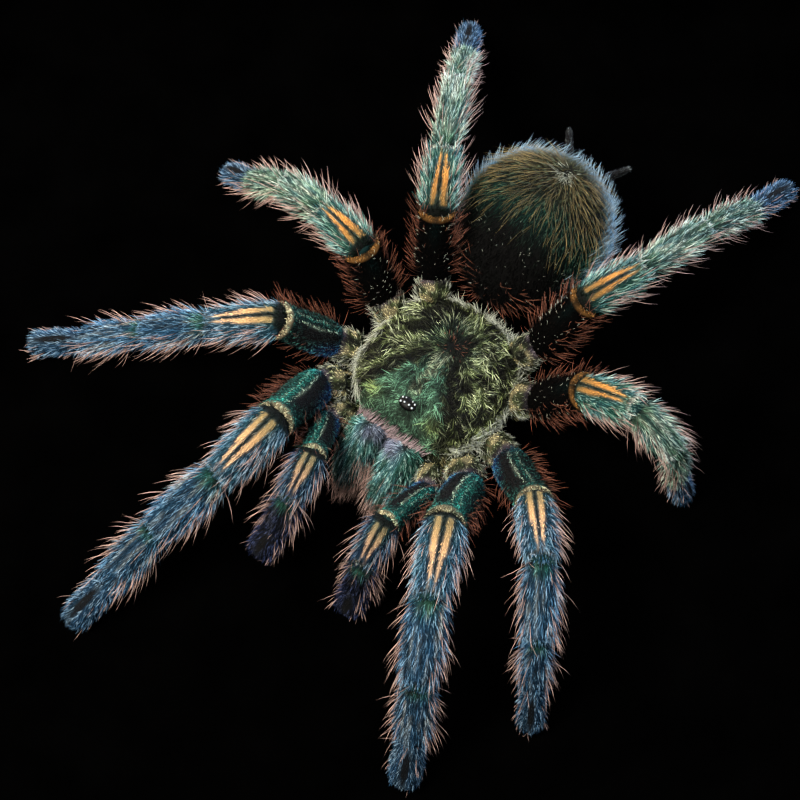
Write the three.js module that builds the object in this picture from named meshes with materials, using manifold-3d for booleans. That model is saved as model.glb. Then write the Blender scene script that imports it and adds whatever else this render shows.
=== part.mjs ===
// A tarantula specimen fixed on a black backing board in a plain, shallow, open frame.
// Millimetres, +Z up. The origin is on the underside of the frame, in the middle.

import * as THREE from 'three';
import { mergeVertices } from 'three/addons/utils/BufferGeometryUtils.js';
import Module from 'manifold-3d';

const wasm = await Module();
wasm.setup();

// ---- driving dimensions ----

const degree = Math.PI / 180;
const touchGap = 0.3; // clearance between pieces that touch

const frame = {
  opening: 124, // sight opening, square
  railWidth: 14,
  railHeight: 14,
  rebateWidth: 5, // step in the back of a rail that takes the board
  rebateHeight: 10,
  chamfer: 0.8,
};

const board = {
  thickness: 9.2,
  top: frame.rebateHeight - touchGap,
};

// The spider's own frame: it looks along -Y, its left side is +X, z = 0 is the board's face.
const spider = {
  x: 5,
  y: -2,
  turn: -36, // degrees about the vertical: the head points to the front left corner
};

const carapace = {
  width: 21.6,
  front: 10, // from the centre to the clypeus
  back: 11.4,
  frontSquareness: 3.4, // exponent of the outline: 2 is an ellipse, more is squarer
  backSquareness: 2.4,
  headTaper: 0.16, // share of the width lost at the front edge
  rimHeight: 10,
  rimDepth: 0.8,
  dome: 3.4,
  headRise: 1.9, // the head stands above the thorax
  pitDepth: 1.3, // the fovea, a pit in the middle of the thorax
  pitRadius: 1.7,
  pitBack: 4.4,
};

const abdomen = {
  width: 22.5,
  length: 25,
  height: 18.5,
  centreBack: 25.2,
  centreRight: 1.8, // swung a little to the right at the waist
  centreHeight: 11.2,
  rearFullness: 0.1, // the widest place lies behind the middle
  waist: 1.1,
};

const sternum = {
  width: 10,
  length: 12.5,
  height: 3.4,
  centreHeight: 5,
  centreForward: 1,
};

const chelicera = {
  length: 10.8,
  width: 5.8,
  height: 6.6,
  side: { R: 3.6, L: 2.7 }, // centre line to the middle plane: both lean a little to the right
  baseForward: 10.4,
  baseHeight: 10.6,
  droop: 38, // degrees below the horizontal
  toeIn: { R: 8, L: -3 }, // degrees towards the middle
};

const spinneret = {
  length: 5.4,
  width: 1.3,
  side: 2.2,
  back: 37.9,
  height: 7.6,
  splay: 36,
  rise: 14,
};

// Each pair of legs: the hip, where the trochanter meets the femur, is a polar place on the body:
// degrees from the heading, a reach from the carapace's centre and a height. Then the length and
// the thickness of each segment. The palps have no metatarsus.
const pairs = {
  leg1: {
    hip: { angle: 53, reach: 15.6, height: 9.8 },
    coxa: 4.3,
    segments: [
      ['femur', 15, 5.6],
      ['patella', 10.5, 5.4],
      ['tibia', 11.5, 5.2],
      ['metatarsus', 11, 4.7],
      ['tarsus', 8.5, 4.1],
    ],
  },
  leg2: {
    hip: { angle: 77, reach: 14.3, height: 8.8 },
    coxa: 4.1,
    segments: [
      ['femur', 13, 5.2],
      ['patella', 10.5, 4.7],
      ['tibia', 10.5, 4.4],
      ['metatarsus', 10.5, 3.8],
      ['tarsus', 8.5, 3.3],
    ],
  },
  leg3: {
    hip: { angle: 112, reach: 13.4, height: 9 },
    coxa: 4.1,
    segments: [
      ['femur', 11.5, 5.4],
      ['patella', 8.5, 4.7],
      ['tibia', 8.5, 4.2],
      ['metatarsus', 10, 3.6],
      ['tarsus', 7.0, 3.1],
    ],
  },
  leg4: {
    hip: { angle: 142, reach: 14, height: 10 },
    coxa: 4.3,
    segments: [
      ['femur', 13, 5.0],
      ['patella', 9, 4.5],
      ['tibia', 13, 3.7],
      ['metatarsus', 14, 3.3],
      ['tarsus', 9.5, 3.0],
    ],
  },
  palp: {
    hip: { angle: 34, reach: 15.6, height: 9.6 },
    coxa: 3.2,
    segments: [
      ['femur', 11.5, 3.7],
      ['patella', 6.5, 4.1],
      ['tibia', 5.8, 4.2],
      ['tarsus', 5.3, 4.0],
    ],
  },
};

// How each limb is posed: yaw is the femur's direction from the heading, turns are what the later
// segments add to it, and lifts are their slopes above the horizontal, all in degrees. A leg's
// last two segments have no lift here, because its foot is made to reach the board.
const limbs = [
  { name: 'leg_R1', pair: 'leg1', side: -1, yaw: -2, turns: [14, 6, -2, -2], lifts: [42, -17, -23] },
  { name: 'leg_R2', pair: 'leg2', side: -1, yaw: 53, turns: [6, -1, 1, 0], lifts: [50, -25, -26] },
  { name: 'leg_R3', pair: 'leg3', side: -1, yaw: 109, turns: [-4, -7, -6, 4], lifts: [61, -18, -23] },
  { name: 'leg_R4', pair: 'leg4', side: -1, yaw: 149, turns: [2, 2, -1, -1], lifts: [60, -3, -15] },
  { name: 'leg_L1', pair: 'leg1', side: 1, yaw: 15, turns: [10, 3, -2, -3], lifts: [47, 5, -22] },
  { name: 'leg_L2', pair: 'leg2', side: 1, yaw: 57, turns: [-17, -7, -1, 0], lifts: [39, 26, -22] },
  { name: 'leg_L3', pair: 'leg3', side: 1, yaw: 114, turns: [-18, -8, 10, 4], lifts: [51, 28, -35] },
  { name: 'leg_L4', pair: 'leg4', side: 1, yaw: 154, turns: [4, 8, 1, 2], lifts: [53, -5, -20] },
  { name: 'palp_R', pair: 'palp', side: -1, yaw: -22, turns: [15, 10, 2], lifts: [42, -18, -58, -44] },
  { name: 'palp_L', pair: 'palp', side: 1, yaw: -6, turns: [9, 2, 0], lifts: [34, -36, -72, -60] },
];
const trochanter = 2.2; // from the end of a coxa out to the hip
const tarsusEase = 10; // a foot lies this many degrees flatter than the metatarsus

const facets = { limb: 10, body: 30, bodyRings: 12, rod: 8, rodEnd: 3 };

// ---- materials ----

function paint(color, roughness, metalness = 0) {
  return new THREE.MeshStandardMaterial({ color, roughness, metalness });
}

const colours = {
  frame: ['#17171a', 0.4],
  board: ['#070708', 0.95],
  carapace: ['#4d6b45', 0.6],
  abdomen: ['#2a3028', 0.8],
  underside: ['#6e7560', 0.7],
  chelicera: ['#4f7070', 0.6],
  spinneret: ['#3a3f42', 0.7],
  frontFemur: ['#1f5f5c', 0.5],
  rearFemur: ['#171514', 0.8],
  patella: ['#7d8a72', 0.6],
  lowerLeg: ['#54707c', 0.6],
};

function mesh(name, geometry, finish) {
  const piece = new THREE.Mesh(geometry, paint(...colours[finish]));
  piece.name = name;
  return piece;
}

// ---- the frame ----

// One rail along X with its outer face on y = 0: a stepped section, its ends mitred at 45 degrees.
function railGeometry() {
  const { opening, railWidth, railHeight, rebateWidth, rebateHeight, chamfer } = frame;
  const step = railWidth - rebateWidth;
  const section = new THREE.Shape([
    new THREE.Vector2(0, 0),
    new THREE.Vector2(step, 0),
    new THREE.Vector2(step, rebateHeight),
    new THREE.Vector2(railWidth, rebateHeight),
    new THREE.Vector2(railWidth, railHeight - chamfer),
    new THREE.Vector2(railWidth - chamfer, railHeight),
    new THREE.Vector2(chamfer, railHeight),
    new THREE.Vector2(0, railHeight - chamfer),
  ]);
  const length = opening + 2 * railWidth - touchGap * Math.SQRT2;
  const rail = new THREE.ExtrudeGeometry(section, { depth: length, bevelEnabled: false });
  const place = rail.getAttribute('position');
  for (let i = 0; i < place.count; i += 1) {
    const across = place.getX(i);
    const up = place.getY(i);
    const along = place.getZ(i) - length / 2;
    place.setXYZ(i, along - Math.sign(along) * across, across, up);
  }
  return rail;
}

function buildFrame() {
  const group = new THREE.Group();
  const half = frame.opening / 2 + frame.railWidth;
  ['front', 'right', 'back', 'left'].forEach((where, i) => {
    const corner = new THREE.Group();
    corner.rotation.z = i * 90 * degree;
    const rail = mesh(`frame_rail_${where}`, railGeometry(), 'frame');
    rail.position.y = -half;
    corner.add(rail);
    group.add(corner);
  });
  const side = frame.opening + 2 * (frame.rebateWidth - touchGap);
  const backing = mesh('backing_board', new THREE.BoxGeometry(side, side, board.thickness), 'board');
  backing.position.z = board.top - board.thickness / 2;
  group.add(backing);
  return group;
}

// ---- the body ----

// A sphere of radius 1 whose poles lie on Z, with each point moved by the shape function.
function shapedSphere(shape, across = facets.body, rings = facets.bodyRings) {
  const ball = new THREE.SphereGeometry(1, across, rings).rotateX(90 * degree);
  const place = ball.getAttribute('position');
  const point = new THREE.Vector3();
  for (let i = 0; i < place.count; i += 1) {
    point.fromBufferAttribute(place, i);
    shape(point);
    place.setXYZ(i, point.x, point.y, point.z);
  }
  return ball;
}

// A domed shield with a rounded-square outline, a raised head and the pit of the fovea.
function carapaceGeometry() {
  const { width, front, back, headTaper, rimDepth, dome, headRise } = carapace;
  return shapedSphere((p) => {
    const spread = Math.hypot(p.x, p.y);
    const cosine = spread > 1e-6 ? Math.abs(p.x) / spread : 1;
    const sine = spread > 1e-6 ? Math.abs(p.y) / spread : 0;
    const squareness = p.y < 0 ? carapace.frontSquareness : carapace.backSquareness;
    const outline = (cosine ** squareness + sine ** squareness) ** (-1 / squareness);
    const top = Math.max(0, p.z);
    p.x *= (outline * width) / 2;
    p.y *= outline * (p.y < 0 ? front : back);
    const forward = Math.max(0, -p.y / front);
    p.x *= 1 - headTaper * forward ** 2;
    p.z = p.z > 0 ? dome * p.z ** 0.8 : rimDepth * p.z;
    p.z += headRise * top * Math.sin(Math.min(1, forward) * 115 * degree);
    const fromPit = Math.hypot(p.x, p.y - carapace.pitBack) / carapace.pitRadius;
    p.z -= carapace.pitDepth * Math.exp(-(fromPit ** 2)) * Math.min(1, 2 * top);
  });
}

function abdomenGeometry() {
  const { width, length, height, rearFullness, waist } = abdomen;
  return shapedSphere((p) => {
    const swell = 1 + rearFullness * p.y;
    const front = Math.max(0, -p.y);
    const drop = waist * front ** 3;
    p.x *= (swell * width) / 2;
    p.z = (p.z * swell * height) / 2 - drop;
    p.y *= length / 2;
  });
}

// Turns a geometry into a manifold solid, and back.
function toSolid(geometry) {
  const plain = geometry.clone();
  plain.deleteAttribute('normal');
  plain.deleteAttribute('uv');
  const merged = mergeVertices(plain, 1e-4);
  return new wasm.Manifold(new wasm.Mesh({
    numProp: 3,
    vertProperties: new Float32Array(merged.getAttribute('position').array),
    triVerts: new Uint32Array(merged.getIndex().array),
  }));
}

function toGeometry(solid) {
  const raw = solid.getMesh();
  const geometry = new THREE.BufferGeometry();
  geometry.setAttribute('position', new THREE.BufferAttribute(raw.vertProperties, 3));
  geometry.setIndex(new THREE.BufferAttribute(raw.triVerts, 1));
  return geometry;
}

// The direction of a yaw from the heading and a lift above the horizontal, for one side.
function direction(side, yaw, lift) {
  const level = Math.cos(lift * degree);
  return new THREE.Vector3(
    side * level * Math.sin(yaw * degree),
    -level * Math.cos(yaw * degree),
    Math.sin(lift * degree),
  );
}

// A closed round body along +X from start to end, with rounded ends and a fuller middle.
function limbGeometry(start, end, startRadius, middleRadius, endRadius) {
  const length = end - start;
  const outline = [
    [0, start],
    [startRadius * 0.72, start + startRadius * 0.3],
    [startRadius, start + startRadius],
    [middleRadius, start + length * 0.45],
    [endRadius, end - endRadius],
    [endRadius * 0.72, end - endRadius * 0.3],
    [0, end],
  ].map(([radius, along]) => new THREE.Vector2(radius, along));
  return new THREE.LatheGeometry(outline, facets.limb).rotateZ(-90 * degree);
}

// Moves a geometry made along +X to lie from one point towards another.
function layAlong(geometry, from, heading) {
  const turn = new THREE.Quaternion().setFromUnitVectors(new THREE.Vector3(1, 0, 0), heading);
  return geometry.applyQuaternion(turn).translate(from.x, from.y, from.z);
}

// A round-ended rod between two points, which are the centres of its ends.
function rodBetween(from, to, radius) {
  const heading = to.clone().sub(from);
  const rod = new THREE.CapsuleGeometry(radius, heading.length(), facets.rodEnd, facets.rod);
  rod.rotateZ(-90 * degree).translate(heading.length() / 2, 0, 0);
  return toSolid(layAlong(rod, from, heading.normalize()));
}

// How far a round end of this radius stays back from a joint that bends by this angle.
function jointClearance(radius, bend) {
  return radius * (1 / Math.cos((bend * degree) / 2) - 1) + touchGap / 2;
}

function hipPoint(pair, side) {
  const { angle, reach, height } = pairs[pair].hip;
  const flat = direction(side, angle, 0).multiplyScalar(reach);
  return flat.setZ(height);
}

// The sternum with the coxae and trochanters of the legs and the palps round it, as one shell.
function undersideGeometry() {
  const plate = shapedSphere((p) => {
    p.x *= sternum.width / 2;
    p.y *= sternum.length / 2;
    p.z *= sternum.height / 2;
  }, 16, 8).translate(0, -sternum.centreForward, sternum.centreHeight);
  let solid = toSolid(plate);
  limbs.forEach(({ pair, side, yaw, lifts }) => {
    const { hip, coxa, segments } = pairs[pair];
    const radius = coxa / 2;
    const inner = direction(side, hip.angle, 0).multiplyScalar(sternum.width / 2).setZ(sternum.centreHeight);
    const outerHeight = carapace.rimHeight - carapace.rimDepth - touchGap - radius;
    const outer = direction(side, hip.angle, 0).multiplyScalar(hip.reach - trochanter).setZ(outerHeight);
    const end = hipPoint(pair, side);
    const slope = end.clone().sub(outer).normalize();
    const bend = slope.angleTo(direction(side, yaw, lifts[0])) / degree;
    const femurRadius = segments[0][2] * 0.4;
    const tip = end.addScaledVector(slope, -femurRadius - jointClearance(femurRadius, bend));
    solid = solid.add(rodBetween(inner, outer, radius));
    solid = solid.add(rodBetween(outer, tip, femurRadius));
  });
  return toGeometry(solid);
}

function cheliceraGeometry() {
  const radius = chelicera.width / 2;
  const length = chelicera.length;
  const outline = [
    [0, 0],
    [radius * 0.8, radius * 0.1],
    [radius * 0.97, radius * 0.6],
    [radius, length * 0.45],
    [radius * 0.86, length * 0.72],
    [radius * 0.5, length * 0.93],
    [0, length],
  ].map(([across, along]) => new THREE.Vector2(across, along));
  const body = new THREE.LatheGeometry(outline, facets.limb + 2).rotateZ(-90 * degree);
  return body.scale(1, 1, chelicera.height / chelicera.width);
}

function buildBody() {
  const group = new THREE.Group();
  const shield = mesh('carapace', carapaceGeometry(), 'carapace');
  shield.position.z = carapace.rimHeight;
  const belly = mesh('abdomen', abdomenGeometry(), 'abdomen');
  belly.position.set(-abdomen.centreRight, abdomen.centreBack, abdomen.centreHeight);
  group.add(shield, belly, mesh('sternum_and_coxae', undersideGeometry(), 'underside'));
  [['R', -1], ['L', 1]].forEach(([letter, side]) => {
    const jaw = mesh(`chelicera_${letter}`, cheliceraGeometry(), 'chelicera');
    jaw.position.set(side * chelicera.side[letter], -chelicera.baseForward, chelicera.baseHeight);
    const turnIn = side * chelicera.toeIn[letter];
    jaw.rotation.set(0, chelicera.droop * degree, (-90 - turnIn) * degree, 'ZYX');
    const finger = limbGeometry(0, spinneret.length, spinneret.width * 0.5, spinneret.width * 0.48,
      spinneret.width * 0.3);
    const tail = mesh(`spinneret_${letter}`, finger, 'spinneret');
    tail.position.set(side * spinneret.side - abdomen.centreRight, spinneret.back, spinneret.height);
    tail.rotation.set(0, -spinneret.rise * degree, (90 - side * spinneret.splay) * degree, 'ZYX');
    group.add(jaw, tail);
  });
  return group;
}

// ---- the limbs ----

// The slope of the metatarsus that brings the foot down by this drop, where the foot lies
// tarsusEase flatter than the metatarsus.
function footSlope(drop, metatarsus, tarsus) {
  const level = metatarsus + tarsus * Math.cos(tarsusEase * degree);
  const cross = tarsus * Math.sin(tarsusEase * degree);
  return (Math.asin(drop / Math.hypot(level, cross)) + Math.atan2(cross, level)) / degree;
}

function limbFinish(limb, segment) {
  const isFront = limb.pair === 'leg1' || limb.pair === 'leg2' || limb.pair === 'palp';
  if (segment === 'femur') {
    return isFront ? 'frontFemur' : 'rearFemur';
  }
  return segment === 'patella' ? 'patella' : 'lowerLeg';
}

function buildLimb(limb) {
  const group = new THREE.Group();
  const { segments } = pairs[limb.pair];
  const lifts = [...limb.lifts];
  const joint = hipPoint(limb.pair, limb.side);
  if (limb.pair !== 'palp') {
    const [, , , [, metatarsus], [, tarsus, tarsusWidth]] = segments;
    const kneeRise = segments.slice(0, 3).reduce((z, [, length], i) => (
      z + length * Math.sin(lifts[i] * degree)
    ), joint.z);
    const footRadius = (tarsusWidth / 2) * 0.8;
    const slope = footSlope(kneeRise - footRadius - touchGap, metatarsus, tarsus - footRadius);
    lifts.push(-slope, tarsusEase - slope);
  }
  const yaws = [limb.yaw];
  limb.turns.forEach((turn) => yaws.push(yaws[yaws.length - 1] + turn));
  const headings = yaws.map((yaw, i) => direction(limb.side, yaw, lifts[i]));
  segments.forEach(([name, length, width], i) => {
    const bendBefore = i > 0 ? headings[i].angleTo(headings[i - 1]) / degree : 70;
    const isLast = i === segments.length - 1;
    const bendAfter = isLast ? 0 : headings[i].angleTo(headings[i + 1]) / degree;
    const baseRadius = width * 0.4;
    const tipRadius = width * (isLast ? 0.4 : 0.44);
    const start = jointClearance(Math.max(baseRadius, width * 0.44), bendBefore);
    const end = isLast ? length : length - jointClearance(tipRadius, bendAfter);
    const piece = mesh(`${limb.name}_${name}`,
      limbGeometry(start, end, baseRadius, width / 2, tipRadius), limbFinish(limb, name));
    const azimuth = Math.atan2(headings[i].y, headings[i].x);
    piece.position.copy(joint);
    piece.rotation.set(0, -lifts[i] * degree, azimuth, 'ZYX');
    group.add(piece);
    joint.addScaledVector(headings[i], length);
  });
  return group;
}

// ---- the whole specimen ----

const specimen = new THREE.Group();
specimen.add(buildFrame());

const animal = new THREE.Group();
animal.position.set(spider.x, spider.y, board.top);
animal.rotation.z = spider.turn * degree;
animal.add(buildBody());
limbs.forEach((limb) => animal.add(buildLimb(limb)));
specimen.add(animal);

export default specimen;
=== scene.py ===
# A dried tarantula on a black flocked board in a plain lacquered frame.
# Lengths are in metres; a setting whose name ends in Mm is in millimetres.
import math

import bmesh
import bpy
import numpy as np
from mathutils import Matrix, Vector


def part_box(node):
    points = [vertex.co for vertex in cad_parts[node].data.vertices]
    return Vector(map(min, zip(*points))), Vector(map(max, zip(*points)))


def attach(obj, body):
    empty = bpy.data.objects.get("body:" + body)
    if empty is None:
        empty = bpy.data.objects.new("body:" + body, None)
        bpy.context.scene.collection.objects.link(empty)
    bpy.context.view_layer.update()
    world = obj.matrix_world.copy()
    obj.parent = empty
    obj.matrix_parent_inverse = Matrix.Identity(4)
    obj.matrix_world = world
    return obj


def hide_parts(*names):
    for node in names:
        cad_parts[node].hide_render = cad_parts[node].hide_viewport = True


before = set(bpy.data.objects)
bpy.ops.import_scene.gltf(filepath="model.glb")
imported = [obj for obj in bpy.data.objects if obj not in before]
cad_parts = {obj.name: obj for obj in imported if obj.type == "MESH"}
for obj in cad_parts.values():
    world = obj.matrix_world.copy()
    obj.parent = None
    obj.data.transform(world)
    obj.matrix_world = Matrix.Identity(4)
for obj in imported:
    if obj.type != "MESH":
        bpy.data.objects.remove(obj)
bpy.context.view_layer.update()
mm = 0.001
random = np.random.default_rng(36)


# ---- camera, lights and floor ----

viewSettings = {
    "elevation": 70.3,           # degrees above the board
    "distance": 0.45,
    "lens": 147.2,               # on a 36 mm sensor
    "aimMm": (-5.1, -3.4, -1.8),  # from the middle of the carapace
}

lightSettings = [
    {"name": "key", "place": (-0.30, -0.10, 0.60), "size": 0.28, "power": 18.0,
     "colour": "#fff6ea"},
    {"name": "rim", "place": (0.40, 0.50, 0.26), "size": 0.40, "power": 12.0, "colour": "#dce8ff"},
    {"name": "fill", "place": (0.42, -0.36, 0.42), "size": 0.50, "power": 2.0, "colour": "#eef4ff"},
    {"name": "back", "place": (-0.42, 0.44, 0.26), "size": 0.40, "power": 8.0, "colour": "#ffeadc"},
]

floorSettings = {"size": 4.0, "colour": "#83817d", "world": "#ffffff", "worldStrength": 0.12}


def linear(hexColour):
    # sRGB hex to the linear colour that the shaders take
    parts = [int(hexColour[i:i + 2], 16) / 255 for i in (1, 3, 5)]
    return [p / 12.92 if p <= 0.04045 else ((p + 0.055) / 1.055) ** 2.4 for p in parts] + [1.0]


def middle(node):
    low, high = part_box(node)
    return (Vector(low) + Vector(high)) / 2


def addCamera():
    aim = middle("carapace") + Vector(viewSettings["aimMm"]) * mm
    lift = math.radians(viewSettings["elevation"])
    back = Vector((0, -math.cos(lift), math.sin(lift)))
    data = bpy.data.cameras.new("camera")
    data.lens = viewSettings["lens"]
    camera = bpy.data.objects.new("camera", data)
    camera.location = aim + back * viewSettings["distance"]
    camera.rotation_euler = (-back).to_track_quat("-Z", "Y").to_euler()
    bpy.context.collection.objects.link(camera)
    bpy.context.scene.camera = camera
    bpy.context.scene.view_settings.view_transform = "Standard"


def addLights():
    centre = middle("carapace")
    for one in lightSettings:
        data = bpy.data.lights.new(one["name"], "AREA")
        data.size = one["size"]
        data.energy = one["power"]
        data.color = linear(one["colour"])[:3]
        lamp = bpy.data.objects.new(one["name"], data)
        lamp.location = one["place"]
        lamp.rotation_euler = (centre - lamp.location).to_track_quat("-Z", "Y").to_euler()
        bpy.context.collection.objects.link(lamp)


addCamera()
addLights()
print("camera and lights placed")


# ---- materials ----

def addNode(tree, kind, settings=None, links=None):
    # settings name the node's attributes or inputs, links feed its inputs from other outputs
    node = tree.nodes.new(kind)
    for key, value in (settings or {}).items():
        if isinstance(key, int) or key in node.inputs:
            node.inputs[key].default_value = value
        else:
            setattr(node, key, value)
    for key, output in (links or {}).items():
        tree.links.new(output, node.inputs[key])
    return node


def newMaterial(name):
    material = bpy.data.materials.new(name)
    material.use_nodes = True
    tree = material.node_tree
    tree.nodes.clear()
    shader = addNode(tree, "ShaderNodeBsdfPrincipled")
    addNode(tree, "ShaderNodeOutputMaterial", links={"Surface": shader.outputs["BSDF"]})
    return material, tree, shader


def mixColours(tree, factor, first, second):
    # each of the three is a socket or a plain value
    node = addNode(tree, "ShaderNodeMix", {"data_type": "RGBA"})
    for index, value in ((0, factor), (6, first), (7, second)):
        if isinstance(value, bpy.types.NodeSocket):
            tree.links.new(value, node.inputs[index])
        else:
            node.inputs[index].default_value = value
    return node.outputs[2]


def readAttribute(tree, name):
    source = addNode(tree, "ShaderNodeAttribute", {"attribute_name": name})
    return addNode(tree, "ShaderNodeSeparateXYZ", links={0: source.outputs["Vector"]}).outputs


def shadeStrand(tree, colour, strand, low, high, root):
    # a strand's own brightness, partly its own tone and partly painted highlight; darker at its
    # root, as painted shade between the hairs
    own = addNode(tree, "ShaderNodeMapRange", {"To Min": low, "To Max": high},
                  {"Value": strand["X"]})
    fade = addNode(tree, "ShaderNodeMapRange", {"To Min": root, "To Max": 1.0},
                   {"Value": strand["Y"]})
    both = addNode(tree, "ShaderNodeMath", {"operation": "MULTIPLY"},
                   {0: own.outputs[0], 1: fade.outputs[0]})
    scaled = addNode(tree, "ShaderNodeVectorMath", {"operation": "SCALE"},
                     {"Vector": colour, "Scale": both.outputs[0]})
    return scaled.outputs[0]


def coatMaterial(name, finish):
    # chitin under short hair: the colours lie in zones that every strand takes from its root,
    # and strands differ in brightness, partly their own tone and partly painted highlight, which
    # gives the eye fine lit hairs over a dark ground; rare strands turn pale as painted glints
    material, tree, shader = newMaterial(name)
    cover = readAttribute(tree, "cover")    # mark, ring, shade
    grain = readAttribute(tree, "grain")    # glow, run, clump
    strand = readAttribute(tree, "strand")  # tone, reach, 1 on hair and 0 on skin
    ground = mixColours(tree, grain["Z"], linear(finish["first"]), linear(finish["second"]))
    mark = mixColours(tree, grain["Y"], linear(finish["markStart"]), linear(finish["markEnd"]))
    marked = mixColours(tree, cover["X"], ground, mark)
    ringed = mixColours(tree, cover["Y"], marked, linear(finish["ring"]))
    glowing = mixColours(tree, grain["X"], ringed, linear(finish["glow"]))
    # rare bright strands turn towards the pale colour: partly pale hairs, partly painted glints on
    # lit hair
    rareGlints = addNode(tree, "ShaderNodeMath", {"operation": "POWER", 1: 3.0}, {0: strand["X"]})
    plain = addNode(tree, "ShaderNodeMapRange", {"To Min": finish["paleGlintShare"], "To Max": 0.0},
                    {"Value": cover["X"]})
    share = addNode(tree, "ShaderNodeMath", {"operation": "MULTIPLY"},
                    {0: rareGlints.outputs[0], 1: plain.outputs[0]})
    pale = mixColours(tree, share.outputs[0], glowing, linear(finish["pale"]))
    shaded = mixColours(tree, cover["Z"], pale, linear(finish["shade"]))
    grown = shadeStrand(tree, shaded, strand, finish["low"], finish["high"], finish["root"])
    tree.links.new(grown, shader.inputs["Base Color"])
    rough = addNode(tree, "ShaderNodeMapRange",
                    {"To Min": finish["skin"], "To Max": finish["roughness"]},
                    {"Value": strand["Z"]})
    tree.links.new(rough.outputs[0], shader.inputs["Roughness"])
    shader.inputs["Specular IOR Level"].default_value = finish["specular"]
    return material


bristleFinish = {"low": 0.4, "high": 1.2, "root": 0.8, "roughness": 0.45, "specular": 0.15}


def bristleMaterial(name, base, tip):
    # stiff setae: dark where they leave the skin and pale towards the tip
    material, tree, shader = newMaterial(name)
    strand = readAttribute(tree, "strand")
    along = mixColours(tree, strand["Y"], linear(base), linear(tip))
    grown = shadeStrand(tree, along, strand, bristleFinish["low"], bristleFinish["high"],
                        bristleFinish["root"])
    tree.links.new(grown, shader.inputs["Base Color"])
    shader.inputs["Roughness"].default_value = bristleFinish["roughness"]
    shader.inputs["Specular IOR Level"].default_value = bristleFinish["specular"]
    return material


# pale and its share: rare strands that are partly pale hair and partly painted glints
plainFinish = {
    "markStart": "#f0a030", "markEnd": "#ecd2b0", "ring": "#d8cdb0", "glow": "#3a8068",
    "shade": "#06090c", "pale": "#b0c0c8", "paleGlintShare": 0.6, "low": 0.07, "high": 1.75,
    "root": 0.18, "skin": 0.85, "roughness": 0.45, "specular": 0.08,
}

# first and second are the ground colours; the rest lies over them in zones
finishes = {
    "frontFemur": {"first": "#010c14", "second": "#1c8c80", "markStart": "#90a89c",
                   "markEnd": "#b4c4a8", "shade": "#010409", "glow": "#143c74", "ring": "#d4c49c",
                   "pale": "#70ccb8", "paleGlintShare": 0.25, "low": 0.05, "high": 2.1},
    "rearFemur": {"first": "#010101", "second": "#020101", "ring": "#c89050", "glow": "#041c1c",
                  "pale": "#1c1410", "paleGlintShare": 0.4, "roughness": 0.7, "specular": 0.02},
    "frontPatella": {"first": "#20587c", "second": "#40809c", "markStart": "#f4bc78",
                     "markEnd": "#f4d0a8", "ring": "#a89c80", "shade": "#06140c", "glow": "#14604c",
                     "pale": "#b8ccd8"},
    "rearPatella": {"first": "#347c68", "second": "#3c8088", "markStart": "#e08c34",
                    "markEnd": "#e0ac60", "ring": "#f0ecdc", "shade": "#06140c", "glow": "#145c44",
                    "pale": "#c8dccc"},
    "frontShank": {"first": "#1c5070", "second": "#346c98", "markStart": "#b4ac8c",
                   "markEnd": "#8ca4b4", "ring": "#6c8490", "glow": "#187050", "pale": "#98bcd4",
                   "high": 2.1},
    "rearShank": {"first": "#689878", "second": "#5c9090", "markStart": "#d4dcc0",
                  "markEnd": "#b8ccc8", "ring": "#e8ece8", "glow": "#387c5c", "pale": "#d8e4d4",
                  "high": 2.0},
    "foot": {"first": "#1c4660", "second": "#2c5c84", "markStart": "#5c7484", "markEnd": "#748898",
             "ring": "#8098a8", "shade": "#020508", "pale": "#9cb8cc", "low": 0.15},
    "palpFoot": {"first": "#081224", "second": "#141e3c", "markStart": "#6c7080",
                 "markEnd": "#4c5468", "ring": "#4c5468", "pale": "#4c5880"},
    "palpPatella": {"first": "#144458", "second": "#204874", "markStart": "#d4ac80",
                    "markEnd": "#c8a890", "ring": "#dcd0a8", "shade": "#06140c", "glow": "#145c44",
                    "pale": "#98b0c0"},
    "carapace": {"first": "#040603", "second": "#889c60", "markStart": "#2c5c50",
                 "markEnd": "#78ac8c", "ring": "#d0d4b0", "shade": "#010201", "glow": "#98a85c",
                 "pale": "#d4e0b8", "paleGlintShare": 0.9,
                 "low": 0.02, "high": 2.1},
    # the abdomen's mark colours are the pale blue flanks: partly its own hair colour, partly
    # painted rim light
    "abdomen": {"first": "#030605", "second": "#14241c", "markStart": "#5c7c90",
                "markEnd": "#5c7c90", "ring": "#4c4828", "glow": "#104c40", "shade": "#000000",
                "pale": "#5c7060", "paleGlintShare": 0.5,
                "roughness": 0.55, "specular": 0.05},
    "chelicera": {"first": "#4c9c8c", "second": "#5c9ca8", "markStart": "#5c5470",
                  "markEnd": "#7c7490", "ring": "#405868", "shade": "#010405", "glow": "#50b090",
                  "pale": "#d0e4dc", "paleGlintShare": 0.7, "low": 0.08, "high": 2.5},
    "coxa": {"first": "#18200c", "second": "#7c8c58", "markStart": "#d0c48c", "markEnd": "#ccc4a0",
             "ring": "#c8b890", "shade": "#020302", "glow": "#74687c", "pale": "#dce4c4"},
    "spinneret": {"first": "#101418", "second": "#181c20", "ring": "#788080", "pale": "#788080"},
}
coats = {key: coatMaterial("chitin_with_pile_" + key, {**plainFinish, **value})
         for key, value in finishes.items()}
bristles = {
    "pink": bristleMaterial("stiff_setae_pink", "#20100f", "#d0b0a4"),
    "rust": bristleMaterial("stiff_setae_rust", "#100504", "#8c5844"),
    "pale": bristleMaterial("stiff_setae_pale", "#34382c", "#ccd4c4"),
    "mauve": bristleMaterial("stiff_setae_mauve", "#060405", "#b8a4a8"),
    "golden": bristleMaterial("soft_setae_golden", "#14120a", "#8c7c50"),
    "paleBlueRim": bristleMaterial("soft_setae_blue_with_painted_rim", "#2c4050", "#94b0bc"),
}


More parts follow.
